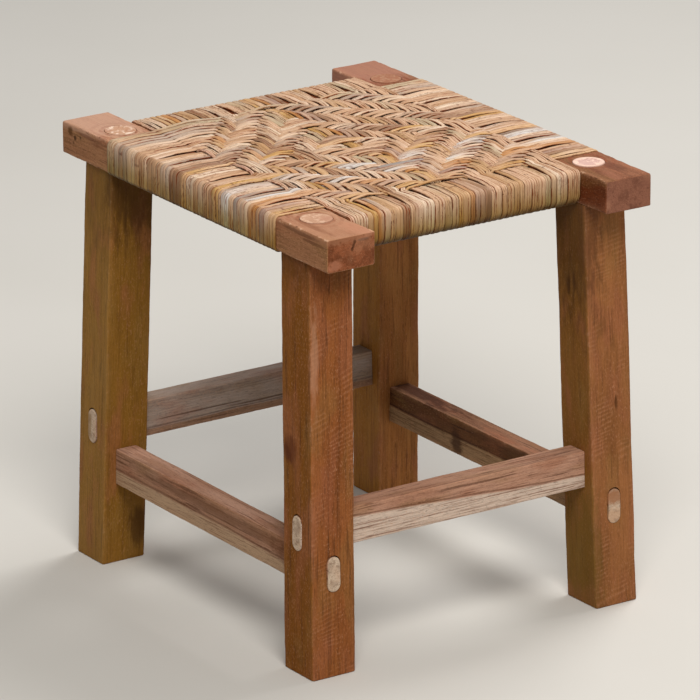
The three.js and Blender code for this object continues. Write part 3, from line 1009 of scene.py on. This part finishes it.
SHOULDER_STEPS = 7
UNDER_EDGE_STEPS = 9
FACE_STEPS = 6
UNDERSIDE_STEPS = 34
LENGTHWISE_DROP = CANE_THICKNESS + 0.35 * MM
DROP_REACH = 28 * MM
SECTION_SHARES = (-1, -0.96, -0.84, -0.6, -0.3, 0, 0.3, 0.6, 0.84, 0.96, 1)
GROOVE_SHARES = (-1.3, -0.4, 0, 0.4, 1.3)
GROOVE_HALF = 0.12
GROOVE_DEPTH = 0.4
SIDE_HEIGHT = 0.48
FLAT_SHARE = 0.93
TWO_GROOVES = 0.1
ONE_GROOVE = 0.46
DRIFT_KNOTS = 27
DRIFT = 0.2 * MM
DRIFT_LIMIT = 0.32 * MM
ROLL_DEGREES = 2.2
LEAST_HALF_WIDTH = 0.6 * MM
CANE_SHARP_DEGREES = 75


def arc(middle, radius, start, end, steps):
    angles = np.radians(np.linspace(start, end, steps))
    return middle[0] + radius * np.cos(angles), middle[1] + radius * np.sin(angles)


def turn_path(run, reach, under_edge, drop):
    """Closed line of a turn's underside round two rails, as places across the seat and
    heights, with the sideways shifts and widths that go with it."""
    places, height, shift, width = run
    high, low = RAIL_TOP - WRAPPED_EDGE, RAIL_UNDER + under_edge
    inner, radius = reach - under_edge, under_edge + CANE_TO_WOOD
    shoulder = (reach - WRAPPED_EDGE, high)
    outer_u, outer_z = arc(shoulder, WRAPPED_EDGE + CANE_TO_WOOD, 90, 0, SHOULDER_STEPS)
    lower_u, lower_z = arc((inner, low), radius, 0, -90, UNDER_EDGE_STEPS)
    face_z = np.linspace(high, low, FACE_STEPS)[1:-1]
    face_u = np.full(len(face_z), reach + CANE_TO_WOOD)
    under_u = np.linspace(inner, -inner, UNDERSIDE_STEPS)[1:-1]
    sunk = eased([0, DROP_REACH, 1], [0, drop, drop], inner - np.abs(under_u))
    under_z = RAIL_UNDER - CANE_TO_WOOD - sunk
    side_u = np.concatenate([outer_u[1:], face_u, lower_u])
    side_z = np.concatenate([outer_z[1:], face_z, lower_z])
    u = np.concatenate([places, side_u, under_u, -side_u[::-1]])
    z = np.concatenate([RAIL_TOP + CANE_TO_WOOD + height, side_z, under_z, side_z[::-1]])
    rest = len(u) - len(places)
    return u, z, np.concatenate([shift, np.zeros(rest)]), np.concatenate([width, np.ones(rest)])


def strip_section(grooves):
    """Cross-section of a split cane: flat below, crowned above, with grooves where it
    is made of narrower strands side by side."""
    shares = list(SECTION_SHARES)
    for groove in grooves:
        shares = [s for s in shares if abs(s - groove) > 1.6 * GROOVE_HALF]
        shares += [groove + share * GROOVE_HALF for share in GROOVE_SHARES]
    share = np.array(sorted(shares))
    crown = 0.45 * (1 - share ** 2) + 0.55 * np.sqrt(np.maximum(0, 1 - share ** 2))
    rise = SIDE_HEIGHT + (1 - SIDE_HEIGHT) * crown
    for groove in grooves:
        rise -= GROOVE_DEPTH * np.exp(-((share - groove) / GROOVE_HALF) ** 2 * 1.5)
    across = np.concatenate([[-FLAT_SHARE], share, [FLAT_SHARE]])
    return across, np.concatenate([[0], rise, [0]])


def make_turn(name, node, axis, middle, width, line, tone, rng):
    """One turn of cane as a closed band with a crowned section."""
    u, z, shift, share = line
    path = np.column_stack([u, z])
    ahead, behind = np.roll(path, -1, 0), np.roll(path, 1, 0)
    tangent = ahead - behind
    tangent /= np.linalg.norm(tangent, axis=1, keepdims=True)
    normal = np.column_stack([-tangent[:, 1], tangent[:, 0]])
    steps = np.linalg.norm(ahead - path, axis=1)
    along = np.concatenate([[0], np.cumsum(steps)[:-1]])

    def wandering(values):
        """Curve through values spread evenly over the turn, the same at both of its ends."""
        values[-1] = values[0]
        return eased(np.linspace(0, steps.sum(), len(values)), values, along)

    drift = np.clip(rng.normal(0, DRIFT, DRIFT_KNOTS), -DRIFT_LIMIT, DRIFT_LIMIT)
    shift = shift + wandering(drift)
    tilt = np.radians(wandering(rng.normal(0, ROLL_DEGREES, DRIFT_KNOTS)))

    grooves = []
    strands = rng.random()
    if strands < TWO_GROOVES:
        grooves = [rng.uniform(-0.42, -0.28), rng.uniform(0.28, 0.42)]
    elif strands < ONE_GROOVE:
        grooves = [rng.uniform(-0.35, 0.35)]
    thickness = CANE_THICKNESS * rng.uniform(0.92, 1.04)
    across, up = strip_section(grooves)
    count = int(steps.sum() / RAGGED_LENGTH)
    ragged = np.clip(rng.normal(0, RAGGED_EDGE, (2, count)), -2 * RAGGED_EDGE, 2 * RAGGED_EDGE)
    half = (width / 2 - CANE_SLIT / 2) * share
    left, right = (np.maximum(half + wandering(row), LEAST_HALF_WIDTH)[:, None] for row in ragged)
    a = np.where(across < 0, across * left, across * right)
    h = np.repeat(up[None, :] * thickness, len(path), 0)
    cos, sin = np.cos(tilt)[:, None], np.sin(tilt)[:, None]
    side = shift[:, None] + a * cos - h * sin
    rise = h * cos + a * sin
    run, level = (path[:, k, None] + normal[:, k, None] * rise for k in (0, 1))
    rings = np.stack([middle + side, run, level] if axis else [run, middle - side, level], -1)

    points = len(across)
    faces = tube_faces(len(path), points, True)
    piece = new_piece(name, rings.reshape(-1, 3), faces, cane_materials[tone])
    across = np.tile(across, len(path))
    seed = np.full(len(across), rng.uniform(0, 50))
    bark = rng.uniform(0.8, 1.05, 2)
    near = np.abs(across) * np.where(across < 0, *bark)
    for groove in grooves:
        near = np.maximum(near, 1.04 - np.abs(across - groove) * 1.6)
    mark(piece, "strip", np.column_stack([np.repeat(along, points), across * width / 2, seed]))
    mark(piece, "edge", near)
    smooth_shading(piece, CANE_SHARP_DEGREES)
    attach(piece, BODY)
    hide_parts(node)


def make_seat():
    rng = generator(1)
    cross_edges = turn_edges(CROSSWISE_TURNS, WRAPPED_HALF_X, rng)
    length_edges = turn_edges(LENGTHWISE_TURNS, WOVEN_HALF_Y + OUTER_REACH, rng)
    over = np.array([
        [crosswise_is_over(i, j) for j in range(LENGTHWISE_TURNS)] for i in range(CROSSWISE_TURNS)
    ])
    families = (
        (1, "cane_cross", "cane_crosswise", cross_edges, length_edges, over, CROSSWISE_RUNS,
         (RAIL_HIGH.y, WRAPPED_EDGE, 0.0)),
        (0, "cane_length", "cane_lengthwise", length_edges, cross_edges, ~over.T, LENGTHWISE_RUNS,
         (CROSS_HIGH.x, CROSS_UNDER_EDGE, LENGTHWISE_DROP)),
    )
    for family, (axis, word, node, edges, crossings, states, runs, way) in enumerate(families):
        push = drawn_together(states) * (1 if axis else -1)
        flat = way[0] - WRAPPED_EDGE
        for index, tone in enumerate(spelled_out(runs)):
            rng = generator(2, family, index)
            low, high = edges[index:index + 2]
            arch = RAIL_ARCH if 0 < index < len(edges) - 2 else 0
            run = top_run(states[index], push[index], crossings, flat, arch, rng)
            make_turn(
                f"{word}_{index + 1:02d}", f"{node}_{index // TURNS_PER_BAND + 1}", axis,
                (low + high) / 2, high - low, turn_path(run, *way), tone, rng,
            )


# Camera, light and floor

LIGHTS = (
    ("key", (2.1, -1.1, 2.9), 1.7, 92, (1.0, 0.97, 0.92)),
    ("overhead", (-0.5, 1.9, 2.9), 1.9, 75, (1.0, 0.99, 0.97)),
)
LIGHT_TARGET = (0, 0, 0.25)
WORLD_COLOUR = (1.0, 0.985, 0.96, 1)
WORLD_STRENGTH = 0.27
FLOOR_TONES = ("cbc8c2", "d2cfca")
FLOOR_RADIUS = 12
FLOOR_SIDES = 96


def make_camera():
    azimuth, elevation = math.radians(CAMERA_AZIMUTH), math.radians(CAMERA_ELEVATION)
    back = Vector((
        math.sin(azimuth) * math.cos(elevation),
        -math.cos(azimuth) * math.cos(elevation),
        math.sin(elevation),
    ))
    right = Vector((math.cos(azimuth), math.sin(azimuth), 0))
    up = back.cross(right)
    roll = math.radians(CAMERA_ROLL)
    across = right * math.cos(roll) + up * math.sin(roll)
    upward = up * math.cos(roll) - right * math.sin(roll)
    data = bpy.data.cameras.new("camera")
    data.lens = CAMERA_LENS
    data.sensor_width = CAMERA_SENSOR
    data.clip_end = 100
    rows = Matrix((across, upward, back)).transposed().to_4x4()
    rows.translation = Vector(CAMERA_PLACE)
    camera = link("camera", data)
    camera.matrix_world = rows
    bpy.context.scene.camera = camera


def make_light(name, place, size, power, colour):
    data = bpy.data.lights.new(name, "AREA")
    data.shape = "DISK"
    data.size = size
    data.energy = power
    data.color = colour
    light = link(name, data)
    direction = Vector(LIGHT_TARGET) - Vector(place)
    light.rotation_mode = "QUATERNION"
    light.rotation_quaternion = direction.to_track_quat("-Z", "Y")
    light.location = place


def make_surroundings():
    world = bpy.data.worlds.new("studio")
    world.use_nodes = True
    background = world.node_tree.nodes["Background"]
    background.inputs["Color"].default_value = WORLD_COLOUR
    background.inputs["Strength"].default_value = WORLD_STRENGTH
    bpy.context.scene.world = world
    bpy.context.scene.view_settings.view_transform = "Standard"
    for settings in LIGHTS:
        make_light(*settings)

    make = Shader("floor")
    grain = make.noise(make.coordinate("Object"), (3, 3), 3)
    material = make.finish(make.mix(grain, *FLOOR_TONES), 0.9, grain, 0.01 * MM, 0.2)
    angles = np.linspace(0, 2 * math.pi, FLOOR_SIDES, endpoint=False)
    rim = [(FLOOR_RADIUS * math.cos(t), FLOOR_RADIUS * math.sin(t), 0) for t in angles]
    floor = new_piece("floor", rim, [tuple(range(len(rim)))], material)


# Looks of the wood. Tones: usual, darker, and darkest of the streaks. A spot has a place along
# the grain and across it, its reach in those directions, both in millimetres, a tone and a share.

RIGHT, AWAY, UP = (1, 0, 0), (0, 1, 0), (0, 0, 1)
FRONT, DOWN = (0, -1, 0), (0, 0, -1)
RAIL_TONES = ("b58159", "8c5839", "482512")
STRETCHER_ENDS = ("ccb69f", "6f4e3b")
SHADOW = "3a2008"

LEG_LOOKS = {
    "front_left": dict(
        tones=("946129", "794a1c", "432707"), rings=(4.2, 0.6), pith=(30, 22), saw=0.3, pores=0.3,
        lines=0.2, fuzz=0.3, seed=3.1, arris=0.1,
        # The right face takes a darker tone as painted shade under the seat
        faces=[(FRONT, "947133", 0.6), (RIGHT, "7f5a1c", 0.75)],
        disc=("bd9276", "9a6a4e", "f0d8c4"),
        disc_spots=[
            ((409, 6, 7), (20, 7, 6), "ab785c", 0.65),
            ((409, -5, -10), (20, 7, 5), "b2826a", 0.65),
        ],
        spots=[
            ((30, 22.5, 16), (22, 8, 14), SHADOW, 0.6), ((372, 0, 0), (90, 60, 60), SHADOW, 0.3),
            ((372, 22.5, 0), (70, 12, 60), SHADOW, 0.5),
        ]),
    "front_right": dict(
        tones=("93572b", "77401b", "3c1f0c"), rings=(3.6, 0.7), pith=(-34, 18), saw=1.0, pores=0.4,
        lines=0.36, fuzz=0.48, seed=1.3, faces=[(FRONT, "7e4c08", 0.75)], arris=0.22,
        disc=("bf957a", "8a5741", "d2ae94"),
        disc_spots=[((409, 5, 7), (20, 9, 8), "b3826a", 0.7)],
        spots=[
            ((203, -10, -22.5), (15, 12, 9), "5a2a0c", 0.75),
            ((199, -16, -22.5), (9, 8, 7), "4a1c0a", 0.5),
            ((374, 0, 0), (30, 60, 60), SHADOW, 0.35),
            ((290, 22.5, -18), (52, 5, 5), "b98a6c", 0.45),
        ]),
    "back_left": dict(
        tones=("a76e3a", "845026", "48260e"), rings=(3.4, 0.8), pith=(26, -30), saw=0.3, pores=0.4,
        lines=0.3, seed=5.7, disc=("a06c52", "7e4a34", "ae8469"), faces=[(FRONT, "9e6a24", 0.7)]),
    "back_right": dict(
        tones=("9b643a", "7c4d28", "48280f"), rings=(3.9, 0.6), pith=(36, 8), saw=1.0, pores=0.25,
        lines=0.2, fuzz=0.4, seed=7.9, faces=[(FRONT, "7a5216", 0.75)],
        disc=("cda89e", "b08474", "f0cfbc"), arris=0.15, rim=0.6,
        spots=[
            ((296, -5, -22.5), (12, 3.2, 5), "3c220a", 0.6),
            ((301, 3.5, -22.5), (12, 3, 5), "3c220a", 0.55),
            ((190, 22.5, 5.6), (7.5, 5, 1.7), "4c2a10", 0.75),
            ((262, 22.5, -7), (11, 5, 6), "6a4220", 0.4),
            ((245, 22.5, 4), (9, 5, 3), "6a4220", 0.4),
            ((50, 0, -22.5), (70, 60, 12), "5a4a14", 0.4),
            ((372, 0, -22.5), (120, 60, 26), SHADOW, 0.55),
        ]),
}
RAIL_LOOKS = {
    "front": dict(
        tones=RAIL_TONES, pith=(12, -30), seed=2.2, end_tones=("8e5234", "542a12"), arris=0.6,
        # Its upper face is paler and pinker: partly the wood's own tone, partly a painted sheen
        fuzz=0.6, lines=0.22, pores=0.35, faces=[(UP, "c49a80", 0.7), (FRONT, "94694a", 0.55)],
        halos=[(157.5, 2), (-158.5, 1)],
        spots=[
            ((190, -8, 15), (64, 40, 8), "9f6d50", 0.6),
            ((-200, 0, 15), (60, 60, 8), "b8907c", 0.6),
            ((200, 16, 15), (26, 12, 8), "b88064", 0.5),
            ((176, -13, 15), (40, 4, 5), "7a4a30", 0.5),
            ((172, -24.5, 11), (34, 5, 2.4), "55301c", 0.6),
            ((196, -24.5, 7), (24, 5, 1.8), "5f3a24", 0.55),
            ((-175, -24.5, 10), (24, 5, 2.2), "63341f", 0.6),
            ((-155, -24.5, 6), (16, 5, 2), "63341f", 0.45),
            ((-201, -24.5, 9), (5.5, 5, 5), "573413", 0.85),
            ((-193, -24.5, 4), (2.5, 4, 2.8), "3a2212", 0.85),
            ((-184, -24.5, 6.5), (2.2, 4, 2), "3a2212", 0.7),
            ((-196, -24.5, -1), (1.8, 4, 1.8), "4a2c18", 0.6),
            ((215, 3.5, 9), (5, 1.7, 2.6), "42220f", 0.75),
            ((215, 2.2, 6), (5, 1.8, 2.8), "42220f", 0.8),
            ((215, 1, 3), (5, 1.5, 2.4), "42220f", 0.75),
            ((215, 13, 10), (5, 7, 1.6), "5c4a40", 0.5), ((215, -17, -9), (5, 8, 6), "b07458", 0.6),
        ]),
    "back": dict(
        tones=("8e5c42", "6a3a26", "34150a"), pith=(-20, -26), seed=4.4,
        # The face towards the front is darker: partly the wood's own tone, partly painted shade
        end_tones=("8c5c48", "5e3628"), lines=0.3, faces=[(FRONT, "5a2403", 0.88)],
        halos=[(152.5, 1.5), (-161.5, -6)], arris=0.5, fuzz=0.5,
        spots=[
            ((-200, 0, 15), (60, 60, 30), "ac7a66", 0.7), ((182, 8, 15), (24, 8, 5), "5c3222", 0.5),
            ((205, -8, 15), (18, 8, 5), "96624a", 0.5),
        ]),
}
STRETCHER_LOOKS = {
    "front": dict(
        tones=("bf957f", "976a50", "4d2a16"), faces=[(FRONT, "8a5f3c", 0.5)],
        sapwood=("b59678", "86644c", DOWN, 3),
        spots=[
            ((20, -11, 8), (170, 5, 6), "5e3a24", 0.5), ((165, -11, 4), (60, 5, 20), "5a3418", 0.6),
        ]),
    "back": dict(
        tones=("91674f", "704932", "30180c"), faces=[(FRONT, "55310e", 0.85)],
        sapwood=("937454", "6a4c32", DOWN, 0.5),
        spots=[
            ((190, 0, 9), (20, 14, 9), "9c6844", 0.85), ((190, 0, -9), (20, 14, 9), "c09472", 0.6),
            ((-170, 2, 17), (150, 15, 6), "381403", 0.8),
            ((-38, -11, -6), (11, 5, 15), "3a1e0c", 0.8),
            ((70, -11, 9), (90, 5, 10), "3c220c", 0.5),
        ]),
    "left": dict(
        tones=("a8968a", "8a7666", "54403a"), sapwood=("94735c", "6b4c3a", DOWN, 10), lines=0.2,
        spots=[
            ((-60, 11, -3), (60, 5, 0.9), "4a3024", 0.7),
            ((30, 11, -6), (70, 5, 1.1), "4a3024", 0.75),
            ((-172, -4.5, 0), (14, 4, 18), "8c6a3c", 0.6),
        ]),
    "right": dict(
        tones=("bc9078", "97674f", "4a2716"), sapwood=("d2bcab", "84614e", (-0.055, 0, -1), -1)),
}


def make_frame():
    sides = {"front": -1, "back": 1, "left": -1, "right": 1}
    for word, look in LEG_LOOKS.items():
        corner = tuple(sides[side] for side in word.split("_")[::-1])
        make_leg("leg_" + word, corner, wood_material("wood_leg_" + word, UP, **look))
    for word, look in RAIL_LOOKS.items():
        wood = wood_material("wood_rail_" + word, RIGHT, rings=(2.8, 0.8), streak=0.45,
                             chipped=0.8, **look)
        make_long_rail(word, sides[word], wood)
    wood = wood_material("wood_cross_rail", AWAY, RAIL_TONES)
    for word in ("left", "right"):
        make_cross_rail(word, sides[word], wood)
    for index, word in enumerate(("front", "back", "left", "right")):
        axis = index // 2
        wood = wood_material("wood_stretcher_" + word, (RIGHT, AWAY)[axis], rings=(2.6, 0.7),
                             pith=(4, 24), end_tones=STRETCHER_ENDS, blotches=0.45, fuzz=0.5,
                             seed=8.3 + index, **STRETCHER_LOOKS[word])
        make_stretcher(word, axis, sides[word], wood)


make_camera()
make_surroundings()
cane_materials = {tone: cane_material(tone) for tone in CANE_TONES}
make_frame()
make_seat()
